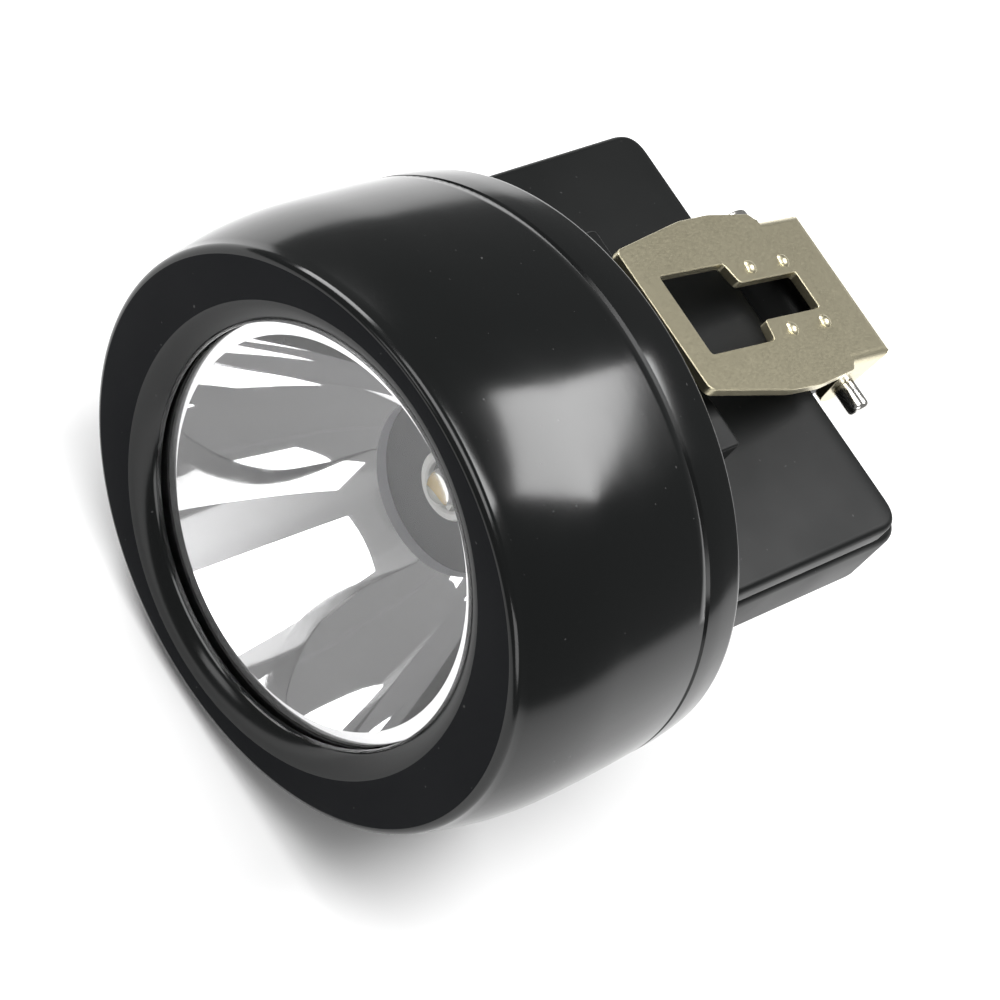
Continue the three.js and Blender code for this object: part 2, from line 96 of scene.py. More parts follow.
BODY_HALF_WIDTH = COVER_HIGH[0]
BODY_START_Y = HEAD_END_Y - 2.7
BODY_END_Y = 72.4
BODY_BOTTOM_Z = 0.2
BODY_TOP_Z = COVER_LOW[2] - 1.2
CAVITY_HALF_WIDTH = 25.9
CAVITY_END_Y = 65.4
FLOOR_THICK = 1.8
BELLY_WALL = 2
BELLY_HALF_WIDTH = 20
BELLY_START_Y = HEAD_END_Y - 0.4
BELLY_END_Y = 64
BELLY_BOTTOM_Z = CASE_LOW[2]
LEDGE_HALF_WIDTH = 15
LEDGE_END_Y = 44
LEDGE_TOP_Z = 22
CONTACT_HOLE_R = 1.6
SCREW_HEAD_HOLE_R = 2.5
SCREW_HOLE_R = 1.35
CLEARANCE = 0.1                       # between the pin and its holes

PIN_Y = (PIN_LOW[1] + PIN_HIGH[1]) / 2
PIN_Z = (PIN_LOW[2] + PIN_HIGH[2]) / 2
PIN_R = 1.2
PIN_HOLE_R = PIN_R + CLEARANCE
RIVET_R = 1.45                        # the pin's spread end, beyond the +X ear
KNUCKLE_R = 3
KNUCKLE_FACE = 8.3                    # each end face of the knuckle, across X
EAR_FACE = 10.3                       # outer face of each ear, across X
EAR_R = 3.2

CLIP_TILT = radians(12.6)
CLIP_THICK = 1.2
CLIP_LENGTH = 41.3
BEND_R = 1.5                          # along the clip's back edge
FOLD_R = 1.1                          # between the plate and each ear
FOLD_START = 31.4                     # where the folds start, from the clip's front edge
BACK_CORNER_R = 2.2                   # seen from above
CLIP_PIN_ALONG = 37.3                 # pin centre from the clip's front edge
CLIP_PIN_DEPTH = 6.3                  # pin centre below the clip's top face
PIP_R = 0.95
PIP_HEIGHT = 0.45
PIP_X = 4.4
PIPS_ALONG = [23.6, 31.1]

ROUND = 192                           # steps round a large turned piece
FLOOR_GAP = 0.0002                    # metres between the lamp and the floor
UP_FROM_Y = Matrix.Rotation(radians(90), 4, "X")    # stands a piece drawn along Y upright


# ------------------------------------------------------------ mesh helpers

def new_object(name, mesh):
    obj = bpy.data.objects.new(name, mesh)
    bpy.context.scene.collection.objects.link(obj)
    return obj


def from_bmesh(name, bm):
    bmesh.ops.recalc_face_normals(bm, faces=bm.faces)
    mesh = bpy.data.meshes.new(name)
    bm.to_mesh(mesh)
    bm.free()
    return new_object(name, mesh)


def smooth(obj, angle):
    """Smooth shading, with a hard edge wherever two faces meet at more than the angle."""
    obj.data.shade_smooth()
    obj.data.set_sharp_from_angle(angle=radians(angle))


def mesh_as_shown(obj):
    """A new mesh of the object as its curve settings and modifiers leave it."""
    shown = obj.evaluated_get(bpy.context.evaluated_depsgraph_get())
    return bpy.data.meshes.new_from_object(shown)


def arc(cu, cv, radius, start, end, steps=6):
    """Points on a circle arc, from one angle to another in degrees."""
    angles = [radians(start + (end - start) * i / steps) for i in range(steps + 1)]
    return [(cu + radius * cos(a), cv + radius * sin(a)) for a in angles]


def turned(name, profile, oval=1, steps=ROUND, closed=True):
    """A profile of (radius, y) in millimetres, turned about the light's axis."""
    bm = bmesh.new()
    rings = []
    for radius, y in profile:
        if radius < 1e-6:
            rings.append([bm.verts.new((0, y, 0))] * steps)
            continue
        rings.append([
            bm.verts.new((radius * cos(2 * pi * i / steps), y, radius * oval * sin(2 * pi * i / steps)))
            for i in range(steps)])
    count = len(rings) if closed else len(rings) - 1
    for r in range(count):
        near, far = rings[r], rings[(r + 1) % len(rings)]
        for i in range(steps):
            j = (i + 1) % steps
            corners = list(dict.fromkeys([near[i], near[j], far[j], far[i]]))
            if len(corners) > 2:
                bm.faces.new(corners)
    return from_bmesh(name, bm)


def counterclockwise(points):
    """The same outline, running counterclockwise."""
    pairs = zip(points, [*points[1:], points[0]])
    area = sum(u0 * v1 - u1 * v0 for (u0, v0), (u1, v1) in pairs)
    return list(points) if area > 0 else list(reversed(points))


def plate(name, outline, holes, z0, z1, edge):
    """A flat outline in (x, y) made solid from z0 to z1, its edges rounded all round."""
    curve = bpy.data.curves.new(name, "CURVE")
    curve.dimensions = "2D"
    curve.fill_mode = "BOTH"
    curve.extrude = (z1 - z0) / 2 - edge
    curve.bevel_depth = edge
    curve.offset = -edge
    curve.bevel_resolution = 3
    loops = [counterclockwise(outline), *[counterclockwise(hole)[::-1] for hole in holes]]
    for points in loops:
        spline = curve.splines.new("POLY")
        spline.points.add(len(points) - 1)
        for point, (x, y) in zip(spline.points, points):
            point.co = (x, y, 0, 1)
        spline.use_cyclic_u = True
    source = new_object(name + "_outline", curve)
    mesh = mesh_as_shown(source)
    bpy.data.objects.remove(source)
    bm = bmesh.new()
    bm.from_mesh(mesh)
    bmesh.ops.remove_doubles(bm, verts=bm.verts, dist=1e-3)
    bmesh.ops.translate(bm, verts=bm.verts, vec=(0, 0, (z0 + z1) / 2))
    return from_bmesh(name, bm)


def filleted(points, radius, steps=4):
    """A closed outline with every corner rounded."""
    result = []
    for i, point in enumerate(points):
        here = Vector(point)
        before = Vector(points[i - 1]) - here
        after = Vector(points[(i + 1) % len(points)]) - here
        reach = min(radius, before.length * 0.45, after.length * 0.45)
        start = here + before.normalized() * reach
        end = here + after.normalized() * reach
        for k in range(steps + 1):
            t = k / steps
            result.append(tuple(start * (1 - t) ** 2 + here * 2 * t * (1 - t) + end * t ** 2))
    return result


def rectangle(u0, u1, v0, v1, radius):
    """A rectangle with softened corners, which start 1.3 radii from each end of a side."""
    return filleted([(u1, v0), (u1, v1), (u0, v1), (u0, v0)], radius * 1.3, 8)


def moved(obj, matrix):
    obj.data.transform(matrix)
    return obj


def sideways(obj):
    """Turns a plate drawn in (y, z) so that its thickness runs along X."""
    return moved(obj, Matrix(((0, 0, 1, 0), (1, 0, 0, 0), (0, 1, 0, 0), (0, 0, 0, 1))))


def rod_across(name, profile, y, z, steps=48):
    """A profile of (radius, x) turned about a line along X."""
    obj = turned(name, profile, steps=steps, closed=False)
    turn = Matrix.Rotation(radians(-90), 4, "Z")
    return moved(obj, Matrix.Translation((0, y, z)) @ turn)


def combined(obj, others, operation):
    """Joins or cuts the others into obj, and removes them."""
    for other in others:
        step = obj.modifiers.new("step", "BOOLEAN")
        step.operation = operation
        step.solver = "MANIFOLD"
        step.object = other
        mesh = mesh_as_shown(obj)
        obj.modifiers.clear()
        obj.data = mesh
        bpy.data.objects.remove(other)
    return obj


# ------------------------------------------------------------ material helpers

MIX_COLOURS = (6, 7)                  # the mix node's two colour inputs
MIX_RESULT = 2                        # and its colour output


class Nodes:
    """Short calls for building one node material. Extra names set the main shader's inputs."""

    def __init__(self, name, **inputs):
        self.material = bpy.data.materials.new(name)
        self.material.use_nodes = True
        self.tree = self.material.node_tree
        self.shader = self.tree.nodes["Principled BSDF"]
        for key, value in inputs.items():
            self.shader.inputs[key.replace("_", " ")].default_value = value
        self.place = self.tree.nodes.new("ShaderNodeTexCoord").outputs["Object"]

    def link(self, output, target):
        self.tree.links.new(output, target)

    def noise(self, scale, detail=3.0, stretch=(1, 1, 1)):
        mapping = self.tree.nodes.new("ShaderNodeMapping")
        mapping.inputs["Scale"].default_value = stretch
        self.link(self.place, mapping.inputs["Vector"])
        node = self.tree.nodes.new("ShaderNodeTexNoise")
        node.inputs["Scale"].default_value = scale
        node.inputs["Detail"].default_value = detail
        self.link(mapping.outputs["Vector"], node.inputs["Vector"])
        return node.outputs["Fac"]

    def ranged(self, value, from_low, from_high, to_low, to_high):
        node = self.tree.nodes.new("ShaderNodeMapRange")
        node.inputs["From Min"].default_value = from_low
        node.inputs["From Max"].default_value = from_high
        node.inputs["To Min"].default_value = to_low
        node.inputs["To Max"].default_value = to_high
        self.link(value, node.inputs["Value"])
        return node.outputs["Result"]

    def colours(self, value, low, high):
        node = self.tree.nodes.new("ShaderNodeMix")
        node.data_type = "RGBA"
        for index, colour in zip(MIX_COLOURS, (low, high)):
            node.inputs[index].default_value = (*colour, 1)
        self.link(value, node.inputs[0])
        return node.outputs[MIX_RESULT]

    def roughness(self, value):
        self.link(value, self.shader.inputs["Roughness"])

    def colour(self, value):
        self.link(value, self.shader.inputs["Base Color"])

    def bump(self, height, strength, distance_mm):
        node = self.tree.nodes.new("ShaderNodeBump")
        node.inputs["Strength"].default_value = strength
        node.inputs["Distance"].default_value = distance_mm * MM
        self.link(height, node.inputs["Height"])
        self.link(node.outputs["Normal"], self.shader.inputs["Normal"])


# ------------------------------------------------------------ materials

def moulded_plastic(name, dark, light, smoothest, roughest, grain=900, strength=0.04, shine=0.5):
    """Moulded black plastic: faint flow marks, uneven gloss and a few dust specks."""
    n = Nodes(name, IOR=1.46, Specular_IOR_Level=shine)
    flow = n.noise(70)
    dust = n.ranged(n.noise(1500, 1), 0.79, 0.82, 0, 1)
    n.colour(n.colours(dust, dark, light))
    n.roughness(n.ranged(flow, 0.3, 0.7, smoothest, roughest))
    n.bump(n.noise(grain, 2), strength, 0.05)
    return n.material


def plated_metal(name, dark, light, smoothest, roughest, stretch, relief=0.04):
    """Plated or polished metal with fine drawn lines and slight staining."""
    n = Nodes(name, Metallic=1.0)
    lines = n.noise(1400, 2, stretch)
    n.colour(n.colours(n.noise(130), dark, light))
    n.roughness(n.ranged(lines, 0.3, 0.7, smoothest, roughest))
    n.bump(lines, relief, 0.03)
    return n.material


def mirror_coating():
    """Vacuum-plated bowl: nearly clean, with a faint ripple from the moulding under it."""
    n = Nodes("mirror_coating", Metallic=1.0)
    n.colour(n.colours(n.noise(60), (0.86, 0.86, 0.87), (0.93, 0.93, 0.93)))
    n.roughness(n.ranged(n.noise(300), 0.3, 0.7, 0.02, 0.05))
    n.bump(n.noise(110, 1), 0.03, 0.1)
    return n.material


def frosted_plating():
    """Duller plating on the neck wall, where the coating thins out."""
    n = Nodes("frosted_plating", Metallic=0.4)
    n.colour(n.colours(n.noise(150), (0.62, 0.62, 0.67), (0.74, 0.74, 0.78)))
    n.roughness(n.ranged(n.noise(600), 0.3, 0.7, 0.4, 0.55))
    n.bump(n.noise(900, 2), 0.05, 0.03)
    return n.material


def clear_plastic(name, tint, ior):
    """Clear moulding with faint haze."""
    n = Nodes(name, IOR=ior, Transmission_Weight=1.0)
    n.colour(n.colours(n.noise(90), tint, (1, 1, 1)))
    n.roughness(n.ranged(n.noise(400), 0.3, 0.7, 0.0, 0.015))
    return n.material


def matt_finish(name, dark, light, grain=0.2):
    """Matt rubber, plastic or wrap with a fine grain."""
    n = Nodes(name)
    n.colour(n.colours(n.noise(200), dark, light))
    n.roughness(n.ranged(n.noise(500), 0.3, 0.7, 0.62, 0.82))
    n.bump(n.noise(1400, 2), grain, 0.05)
    return n.material


def phosphor_square():
    """Yellow phosphor with its fine powder grain."""
    n = Nodes("phosphor_square", Roughness=0.7)
    n.colour(n.colours(n.noise(2500), (0.66, 0.40, 0.02), (0.85, 0.58, 0.06)))
    n.bump(n.noise(3500, 2), 0.3, 0.03)
    return n.material


def circuit_board():
    """Solder mask over faint copper tracks."""
    n = Nodes("circuit_board", Roughness=0.4)
    tracks = n.ranged(n.noise(350, 1, (1, 3, 3)), 0.48, 0.52, 0, 1)
    n.colour(n.colours(tracks, (0.01, 0.08, 0.035), (0.02, 0.14, 0.06)))
    n.bump(tracks, 0.2, 0.04)
    return n.material


def pale_floor():
    """Matt pale studio floor."""
    n = Nodes("pale_floor")
    n.colour(n.colours(n.noise(8), (0.86, 0.86, 0.86), (0.9, 0.9, 0.9)))
    n.roughness(n.ranged(n.noise(25), 0.3, 0.7, 0.75, 0.9))
    return n.material


BLACK = (0.004, 0.0045, 0.0045)
DUST = (0.05, 0.05, 0.05)
GLOSS = moulded_plastic("gloss_black", BLACK, DUST, 0.1, 0.17, shine=0.42)
SATIN = moulded_plastic("satin_black", (0.005, 0.0055, 0.0065), DUST, 0.52, 0.62,
                        grain=1300, strength=0.05, shine=0.07)
BODY_BLACK = moulded_plastic("body_black", BLACK, (0.04, 0.04, 0.04), 0.4, 0.5,
                             grain=1300, strength=0.05, shine=0.2)
MIRROR = mirror_coating()
FROSTED = frosted_plating()
NICKEL = plated_metal("warm_nickel", (0.58, 0.53, 0.37), (0.64, 0.59, 0.42), 0.30, 0.36, (4, 1, 1), 0.01)
STEEL = plated_metal("polished_steel", (0.70, 0.69, 0.66), (0.80, 0.79, 0.76), 0.10, 0.2, (1, 8, 8))
ALUMINIUM = plated_metal("aluminium", (0.62, 0.63, 0.64), (0.72, 0.73, 0.74), 0.3, 0.42, (1, 6, 1))
BRASS = plated_metal("plated_brass", (0.72, 0.55, 0.24), (0.80, 0.64, 0.32), 0.14, 0.26, (8, 1, 8))
LENS_CLEAR = clear_plastic("clear_lens", (0.99, 0.99, 0.99), 1.49)
DOME_CLEAR = clear_plastic("clear_dome", (0.98, 0.98, 0.95), 1.41)
RUBBER = matt_finish("black_rubber", (0.012, 0.012, 0.012), (0.022, 0.022, 0.022))
RED_RUBBER = matt_finish("red_rubber", (0.28, 0.022, 0.016), (0.38, 0.04, 0.03))
WHITE_PLASTIC = matt_finish("white_plastic", (0.78, 0.78, 0.75), (0.86, 0.86, 0.83))
RED_WIRE = matt_finish("red_wire", (0.35, 0.02, 0.02), (0.45, 0.03, 0.03))
CELL_WRAP = matt_finish("cell_wrap", (0.02, 0.12, 0.34), (0.03, 0.16, 0.42))
DARK_BOARD = matt_finish("dark_board", (0.030, 0.033, 0.036), (0.040, 0.043, 0.046), 0.04)
PHOSPHOR = phosphor_square()
BOARD = circuit_board()


def painted(obj, *materials):
    """Gives a piece these materials, with the first one on every face."""
    obj.data.materials.clear()
    for material in materials:
        obj.data.materials.append(material)
    return obj


def paint_second(obj, is_second):
    """Gives a piece's second material to the faces whose centre passes the test."""
    for face in obj.data.polygons:
        if is_second(face.center):
            face.material_index = 1


def fitted(obj, node, body="lamp", sharp=28):
    """Puts a piece built in millimetres on the lamp, in place of its CAD node and on its body."""
    smooth(obj, sharp)
    moved(obj, Matrix.Translation(AXIS) @ Matrix.Scale(MM, 4))
    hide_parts(node)
    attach(obj, body)


# ------------------------------------------------------------ head

def bezel_half_width(y):
    """Half the bezel's width, fullest half way back and narrower at both ends."""
    middle = SEAM_Y / 2
    t = (y - middle) / middle
    side = CREASE if t < 0 else SEAM_HALF_WIDTH
    return BULGE - (BULGE - side) * t * t


def front_bezel():
    """The head's shell: a round window that widens to an oval outside."""
    edge = 1.2
    steps = 28
    side = [(bezel_half_width(y), y) for y in
            (edge + (SEAM_Y - edge - 0.3) * i / steps for i in range(steps + 1))]
    corner = arc(side[0][0] - edge, edge, edge, -90, -8, 8)
    inner_wall = BULGE - WALL
    window = [
        (APERTURE_R, LIP_BACK_Y), (APERTURE_R, 1.9), (24.3, 1.55), (24.6, 1.25), (25.1, 0.85),
        (25.6, 0.55), (26.1, 0.3), (26.6, 0.1), (APERTURE_EDGE_R, 0)]
    rim = [(LENS_R + 0.1, LENS_SEAT_Y), (LENS_R + 0.1, LIP_BACK_Y)]
    profile = [*window, *corner, *side, (side[-1][0] - 0.3, SEAM_Y),
               (SEAM_HALF_WIDTH - WALL, SEAM_Y), (SEAM_HALF_WIDTH - WALL, 24), (inner_wall, 16),
               (31.2, 10), (28, LENS_SEAT_Y), *rim]
    obj = turned("head_bezel", profile)
    oval_from = side[0][0] - edge
    for vertex in obj.data.vertices:
        radius = (vertex.co.x ** 2 + vertex.co.z ** 2) ** 0.5
        t = min(1, max(0, (radius - APERTURE_EDGE_R) / (oval_from - APERTURE_EDGE_R)))
        vertex.co.z *= 1 + (OVAL - 1) * t
    painted(obj, GLOSS, SATIN)
    paint_second(obj, lambda centre: centre.y < 0.02)
    fitted(obj, "front_bezel", sharp=40)


def lens():
    """The flat clear window."""
    edge = 0.3
    y0, y1 = LENS_LOW[1], LENS_HIGH[1]
    obj = turned("clear_window", [
        (0, y0), (LENS_R - edge, y0), (LENS_R, y0 + edge), (LENS_R, y1 - edge), (LENS_R - edge, y1),
        (0, y1)], closed=False)
    fitted(painted(obj, LENS_CLEAR), "lens")


def reflector():
    """A parabola from the mouth to the neck, with a straight neck and a flange at the rim."""
    steps = 40
    depth = (MIRROR_NECK_Y - MIRROR_RIM_Y) / (MIRROR_MOUTH_R ** 2 - MIRROR_NECK_R ** 2)
    radii = [MIRROR_MOUTH_R + (MIRROR_NECK_R - MIRROR_MOUTH_R) * i / steps for i in range(steps + 1)]
    bowl = [(r, MIRROR_RIM_Y + depth * (MIRROR_MOUTH_R ** 2 - r * r)) for r in radii]
    behind = [(r + MIRROR_WALL, y + 0.4) for r, y in reversed(bowl[4:-4:4])]
    neck_end = MIRROR_HIGH[1]
    obj = turned("chrome_bowl", [
        *bowl, (MIRROR_NECK_R, neck_end), (MIRROR_NECK_R + MIRROR_WALL, neck_end),
        (MIRROR_NECK_R + MIRROR_WALL, MIRROR_NECK_Y), *behind,
        (MIRROR_MOUTH_R + MIRROR_WALL, MIRROR_RIM_Y + MIRROR_WALL),
        (LENS_R, MIRROR_RIM_Y + MIRROR_WALL), (LENS_R, MIRROR_RIM_Y)])
    painted(obj, MIRROR, FROSTED)
    paint_second(obj, lambda centre: centre.y > MIRROR_NECK_Y + 0.01)
    fitted(obj, "reflector")


def led_dome():
    """Half a ball of clear silicone over the phosphor."""
    base = DOME_HIGH[1]
    radius = DOME_HIGH[0]
    obj = turned("clear_led_dome", [(0, base), *arc(0, base, radius, 0, -84, 14), (0, base - radius)],
                 steps=64, closed=False)
    fitted(painted(obj, DOME_CLEAR), "led_dome")


def led_holder():
    """A white ring round the dome, with its front edges cut off."""
    outer = HOLDER_HIGH[0]
    inner = outer - 1.1
    cut = 0.25
    y0, y1 = HOLDER_LOW[1], HOLDER_HIGH[1]
    obj = turned("white_led_ring", [
        (inner, y0 + cut), (inner + cut, y0), (outer - cut, y0), (outer, y0 + cut), (outer, y1),
        (inner, y1)], steps=96)
    fitted(painted(obj, WHITE_PLASTIC), "led_holder")


# ------------------------------------------------------------ rear body

def head_band():
    """The band behind the seam, which closes the back of the head."""
    start = SEAM_Y + 0.05
    wide = SEAM_HALF_WIDTH
    outside = [
        (wide - 0.35, start), (wide, start + 0.35), (wide - 0.05, 31.2), (wide - 0.2, 32.5),
        (wide - 0.35, 33.8), *arc(wide - 1.5, HEAD_END_Y - 1, 1, 0, 90)]
    return turned("band", [(0, start), *outside, (0, HEAD_END_Y)], OVAL, closed=False)


def knuckle():
    """The block that the pin runs through, on the body's back edge."""
    front, low = 68.4, 4
    outline = [(front, 8.5), (front, 10.5), *arc(PIN_Y, PIN_Z, KNUCKLE_R, 150, -40, 20),
               (BODY_END_Y, low), (71, low)]
    return sideways(plate("knuckle", outline, [], -KNUCKLE_FACE, KNUCKLE_FACE, 0.2))


def rear_case():
    """The case before it is hollowed out."""
    body = plate("body", rectangle(-BODY_HALF_WIDTH, BODY_HALF_WIDTH, BODY_START_Y, BODY_END_Y, 3),
                 [], BODY_BOTTOM_Z, BODY_TOP_Z, 1.2)
    belly = plate("belly", rectangle(-BELLY_HALF_WIDTH, BELLY_HALF_WIDTH, BELLY_START_Y, BELLY_END_Y, 4),
                  [], BELLY_BOTTOM_Z, BODY_BOTTOM_Z + 3, 1.5)
    ledge = plate("ledge", rectangle(-LEDGE_HALF_WIDTH, LEDGE_HALF_WIDTH, HEAD_END_Y - 1, LEDGE_END_Y, 0.6),
                  [], COVER_HIGH[2] + 0.3, LEDGE_TOP_Z, 0.4)
    spigot = turned("spigot", [(0, SEAM_Y - 3), (SPIGOT_R, SEAM_Y - 3), (SPIGOT_R, SEAM_Y + 0.5),
                               (0, SEAM_Y + 0.5)], OVAL, closed=False)
    obj = combined(head_band(), [spigot, body, belly, ledge, knuckle()], "UNION")
    obj.name = "lamp_case"
    return obj


def middle_of(node):
    """The middle of a CAD piece, in millimetres."""
    low, high = box_mm(node)
    return [(a + b) / 2 for a, b in zip(low, high)]


def case_hollows():
    """The hollows of the head, the body and the belly.

    The belly's starts in front of the belly, as in the CAD. That is a fault in both: it leaves a
    hole in the case on each side, beside the bottom of the head.
    """
    inner = SPIGOT_R - FLOOR_THICK
    back = HEAD_END_Y - FLOOR_THICK
    belly_inner = BELLY_HALF_WIDTH - BELLY_WALL
    head = turned("cut", [(0, SEAM_Y - 4), (inner, SEAM_Y - 4), (inner, back), (0, back)], OVAL,
                  closed=False)
    body = plate("cut", rectangle(-CAVITY_HALF_WIDTH, CAVITY_HALF_WIDTH, BODY_START_Y, CAVITY_END_Y, 0.4),
                 [], BODY_BOTTOM_Z + FLOOR_THICK, BODY_TOP_Z + 0.1, 0.05)
    belly = plate("cut", rectangle(-belly_inner, belly_inner, BODY_START_Y, BELLY_END_Y - BELLY_WALL, 0.4),
                  [], BELLY_BOTTOM_Z + FLOOR_THICK, BODY_BOTTOM_Z + 3, 0.05)
    return [head, body, belly]


def case_holes():
    """The holes for the pin, the button, the charging studs and the cover screws."""
    reach = 12
    holes = [
        rod_across("cut", [(0, -reach), (PIN_HOLE_R, -reach), (PIN_HOLE_R, reach), (0, reach)],
                   PIN_Y, PIN_Z),
        hole_back(BUTTON_HIGH[0] + 0.3, 0, middle_of("switch_button")[2])]
    for name in ("charge_contact_left", "charge_contact_right"):
        x, _, z = middle_of(name)
        holes.append(hole_back(CONTACT_HOLE_R, x, z))
    for number in range(1, 5):
        x, y, _ = middle_of(f"cover_screw_{number}")
        holes.append(hole_up(SCREW_HEAD_HOLE_R, x, y, -1, BODY_BOTTOM_Z + 1.5))
        holes.append(hole_up(SCREW_HOLE_R, x, y, 1, BODY_TOP_Z + 1))
    return holes


def hole_back(radius, x, z):
    """A round cutter through the back wall of the belly."""
    y0, y1 = BELLY_END_Y - 4, BELLY_END_Y + 1
    cutter = turned("cut", [(0, y0), (radius, y0), (radius, y1), (0, y1)], steps=48, closed=False)
    return moved(cutter, Matrix.Translation((x, 0, z)))


def hole_up(radius, x, y, z0, z1):
    """A round cutter standing upright."""
    cutter = turned("cut", [(0, z0), (radius, z0), (radius, z1), (0, z1)], steps=32, closed=False)
    return moved(cutter, Matrix.Translation((x, y, 0)) @ UP_FROM_Y)


def finished_case():
    """The hollow case, glossy as far as the back of the head."""
    obj = combined(rear_case(), [*case_hollows(), *case_holes()], "DIFFERENCE")
    painted(obj, BODY_BLACK, GLOSS)
    paint_second(obj, lambda centre: centre.y < HEAD_END_Y - 0.05)
    fitted(obj, "rear_case")


def top_cover():
    """The flat lid, without the pocket and screw pilots of the CAD one."""
    outline = rectangle(-BODY_HALF_WIDTH, BODY_HALF_WIDTH, COVER_LOW[1], COVER_HIGH[1], 2.6)
    obj = plate("cover_lid", outline, [], COVER_LOW[2], COVER_HIGH[2], 0.9)
    fitted(painted(obj, BODY_BLACK), "top_cover")


# ------------------------------------------------------------ clip

def mirrored(right, radius):
    """A closed outline from its right half, with rounded corners."""
    left = [(-x, along) for x, along in reversed(right)]
    return filleted(right + left, radius)


def clip_outline():
    """The plate seen from above, as (x, distance from the front edge)."""
    return mirrored([(9.1, 0), (9.7, 0.7), (11.9, 15.5), (12.1, 22), (11.6, 27), (11.3, 30.4),
                     (EAR_FACE, 31.2), (EAR_FACE, CLIP_LENGTH - 1.6)], 0.8)


def clip_slot():
    """The slot for the helmet bracket, wide in front and narrow behind."""
    wide, narrow = 5.4, 2.6
    return mirrored([(wide, 4.7), (wide, 18.6), (narrow, 19.4), (narrow, 32)], 0.6)


def clip_ear(x0, x1):
    """One folded ear, with the hole for the pin."""
    outline = [
        (32.4, -0.4), (32.4, -1.6), *arc(CLIP_PIN_ALONG, -CLIP_PIN_DEPTH, EAR_R, 200, 350, 20),
        (CLIP_LENGTH - 0.1, -3.5), (CLIP_LENGTH - 0.1, -0.9), (CLIP_LENGTH - 1, -0.4)]
    hole = arc(CLIP_PIN_ALONG, -CLIP_PIN_DEPTH, PIN_HOLE_R, 0, 345, 23)
    return sideways(plate("ear", outline, [hole], x0, x1, 0.12))


def clip_pip(x, along):
    """A cap of a ball, PIP_HEIGHT high, with a root that sinks into the plate."""
    ball = (PIP_R ** 2 + PIP_HEIGHT ** 2) / (2 * PIP_HEIGHT)
    low = degrees(acos(PIP_R / ball))
    root = -0.5
    dome = [*arc(0, PIP_HEIGHT - ball, ball, 90, low, 8), (PIP_R, root), (0, root)]
    pip = turned("pip", dome, steps=64, closed=False)
    return moved(pip, Matrix.Translation((x, along, 0)) @ UP_FROM_Y)


def corner_outline(u, v, radius):
    """What lies outside a rounded corner at (u, v), as an outline for a cutter."""
    past = 0.3
    return [(u - radius, v + past), *arc(u - radius, v - radius, radius, 90, 0, 12),
            (u + past, v - radius), (u + past, v + past)]


def laid_down(obj, side):
    """Turns a plate drawn in (x, z) so that its thickness runs along Y, on the +X or -X side."""
    moved(obj, Matrix(((side, 0, 0, 0), (0, 0, 1, 0), (0, 1, 0, 0), (0, 0, 0, 1))))
    bm = bmesh.new()
    bm.from_mesh(obj.data)
    bmesh.ops.recalc_face_normals(bm, faces=bm.faces)     # the turn mirrors the +X one
    bm.to_mesh(obj.data)
    bm.free()
    return obj


def fold_corner(side):
    """Cutter that rounds the fold between the plate and one ear."""
    outline = corner_outline(EAR_FACE, 0, FOLD_R)
    return laid_down(plate("corner", outline, [], FOLD_START, CLIP_LENGTH + 0.5, 0.01), side)


def back_corner(side):
    """Cutter that rounds one back corner of the clip, seen from above."""
    outline = [(side * u, v) for u, v in corner_outline(EAR_FACE, CLIP_LENGTH, BACK_CORNER_R)]
    return plate("corner", outline, [], -10, 0.5, 0.01)


def clip_lip():
    """The back edge of the plate, bent down."""
    front, inner, low = CLIP_LENGTH - 4, CLIP_LENGTH - CLIP_THICK, -3.2
    bend = [(front, -0.05), (front, -CLIP_THICK + 0.05), (inner, -CLIP_THICK), (inner, low),
            (CLIP_LENGTH, low), *arc(CLIP_LENGTH - BEND_R, -BEND_R - 0.05, BEND_R, 0, 90, 12)]
    return sideways(plate("lip", bend, [], -EAR_FACE + 0.4, EAR_FACE - 0.4, 0.1))


def clip_plate():
    """The clip, built flat from its front edge and then set on the pin at its tilt."""
    blade = plate("clip_blade", clip_outline(), [clip_slot()], -CLIP_THICK, 0, 0.14)
    lip = clip_lip()
    pips = [clip_pip(x, along) for along in PIPS_ALONG for x in (-PIP_X, PIP_X)]
    ears = [clip_ear(EAR_FACE - CLIP_THICK, EAR_FACE), clip_ear(-EAR_FACE, -EAR_FACE + CLIP_THICK)]
    obj = combined(blade, [lip, *ears, *pips], "UNION")
    corners = [cutter(side) for cutter in (fold_corner, back_corner) for side in (-1, 1)]
    combined(obj, corners, "DIFFERENCE")
    to_pin = Matrix.Translation((0, -CLIP_PIN_ALONG, CLIP_PIN_DEPTH))
    at_pin = Matrix.Translation((0, PIN_Y, PIN_Z))
    moved(obj, at_pin @ Matrix.Rotation(-CLIP_TILT, 4, "X") @ to_pin)
    fitted(painted(obj, NICKEL), "clip_plate", body="clip", sharp=10)


def arc_across(radius, along, wide, deep, start, end):
    """A quarter of an oval, as points of (radius, x), for the rounded ends of the pin."""
    return [(radius + wide * u, along + deep * v) for u, v in arc(0, 0, 1, start, end, 8)]


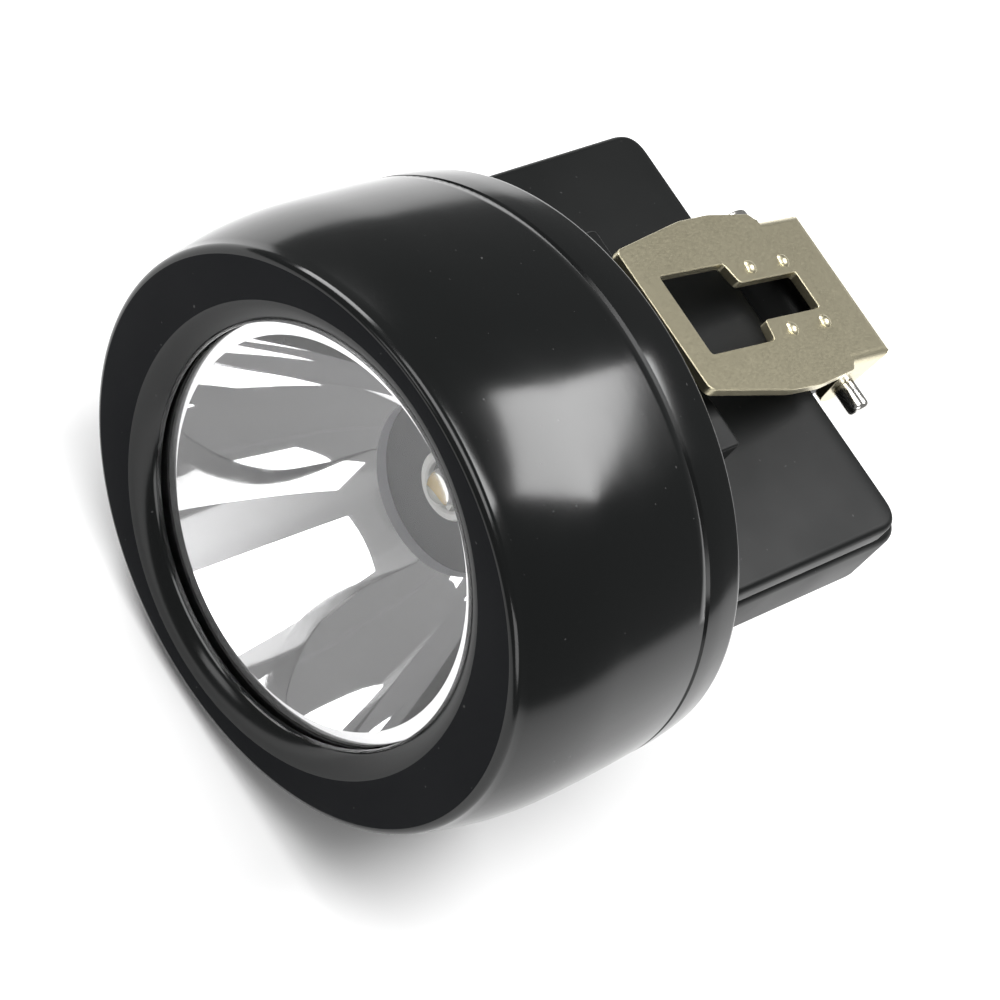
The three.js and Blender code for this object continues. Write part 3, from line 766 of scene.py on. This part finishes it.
def hinge_pin():
    """The pin, with a rounded head on the -X side and a spread end on the +X side."""
    head, tip = PIN_LOW[0], PIN_HIGH[0]
    head_r = (PIN_HIGH[2] - PIN_LOW[2]) / 2
    head_face = -EAR_FACE - 0.1
    rivet_face = EAR_FACE + 0.15
    deep = 0.8
    obj = rod_across("polished_pin", [
        (0, head), *arc_across(head_r - 1, head + deep, 1, deep, -90, 0), (head_r, head_face - 0.2),
        (head_r - 0.15, head_face), (PIN_R, head_face), (PIN_R, rivet_face), (RIVET_R, rivet_face),
        *arc_across(RIVET_R - 0.8, tip - deep, 0.8, deep, 0, 90), (0, tip)], PIN_Y, PIN_Z, 64)
    fitted(painted(obj, STEEL), "hinge_pin", sharp=35)


# ------------------------------------------------------------ CAD pieces that keep their shape

KEPT = {
    RUBBER: ["bezel_seal", "lens_gasket", "cover_gasket", "button_seal", "led_wire_black",
             "switch_body", "driver_chip", "cell_saddle_left", "cell_saddle_right"],
    BOARD: ["driver_board", "switch_board"],
    DARK_BOARD: ["led_board"],
    WHITE_PLASTIC: ["led_package", "switch_plunger"],
    PHOSPHOR: ["led_phosphor"],
    ALUMINIUM: ["heat_sink"],
    RED_WIRE: ["led_wire_red"],
    RED_RUBBER: ["switch_button"],
    CELL_WRAP: ["battery_cell_1", "battery_cell_2"],
    BRASS: ["charge_contact_left", "charge_contact_right"],
    STEEL: ["cover_screw_1", "cover_screw_2", "cover_screw_3", "cover_screw_4",
            "hinge_washer_left", "hinge_washer_right"],
}


def paint_kept_nodes():
    """Finishes for the CAD pieces that are shown as they are."""
    for material, names in KEPT.items():
        for name in names:
            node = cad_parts[name]
            if not node.material_slots:
                node.data.materials.append(material)
            for slot in node.material_slots:
                slot.material = material


# ------------------------------------------------------------ floor, light and camera

def floor():
    """A plain pale floor under the lamp, which isn't part of it."""
    bm = bmesh.new()
    bmesh.ops.create_grid(bm, x_segments=8, y_segments=8, size=3)
    obj = from_bmesh("floor", bm)
    obj.location.z = AXIS.z + BELLY_BOTTOM_Z * MM - FLOOR_GAP
    painted(obj, pale_floor())


def softbox(name, azimuth, elevation, distance, width, height, power):
    """An area light facing the lamp. Azimuth 0 is in front of the lens, 90 on the +X side."""
    a, e = radians(azimuth), radians(elevation)
    direction = Vector((sin(a) * cos(e), -cos(a) * cos(e), sin(e)))
    light = bpy.data.lights.new(name, "AREA")
    light.shape = "RECTANGLE"
    light.size = width
    light.size_y = height
    light.energy = power
    obj = new_object(name, light)
    obj.location = AXIS + direction * distance + Vector((0, SEAM_Y * MM, 0))
    obj.rotation_euler = direction.to_track_quat("Z", "Y").to_euler()


def studio():
    """Soft light all round, with five softboxes."""
    world = bpy.data.worlds.new("studio")
    bpy.context.scene.world = world
    world.use_nodes = True
    background = world.node_tree.nodes["Background"]
    background.inputs["Color"].default_value = (1, 1, 1, 1)
    background.inputs["Strength"].default_value = 0.22
    softbox("front_softbox", -6, 68, 1.1, 1.0, 0.5, 9)
    softbox("back_softbox", 168, 54, 1.0, 0.5, 0.42, 8.5)
    softbox("side_softbox", 68, 23, 1.0, 0.5, 0.4, 2.2)
    softbox("low_softbox", -22, 20, 1.0, 0.26, 0.22, 0.6)
    softbox("fill_softbox", -92, 34, 1.2, 0.6, 0.6, 12)
    bpy.context.scene.view_settings.view_transform = "Standard"


def camera():
    """A long lens, turned about its own axis as the view needs."""
    azimuth, elevation, roll = radians(18.159), radians(44.425), radians(43.571)
    distance = 457.04 * MM
    aim = AXIS + Vector((2.099, 34.557, -5.46)) * MM
    data = bpy.data.cameras.new("camera")
    data.lens = 143.07
    data.sensor_width = 36
    data.clip_end = 10
    obj = new_object("camera", data)
    back = Vector((sin(azimuth) * cos(elevation), -cos(azimuth) * cos(elevation), sin(elevation)))
    level = Vector((0, 0, 1)).cross(back).normalized()
    upright = back.cross(level)
    right = level * cos(roll) + upright * sin(roll)
    up = upright * cos(roll) - level * sin(roll)
    turn = Matrix((right, up, back)).transposed().to_4x4()
    obj.matrix_world = Matrix.Translation(aim + back * distance) @ turn
    bpy.context.scene.camera = obj


# ------------------------------------------------------------ build

camera()
front_bezel()
lens()
reflector()
led_dome()
led_holder()
finished_case()
top_cover()
clip_plate()
hinge_pin()
paint_kept_nodes()
floor()
studio()
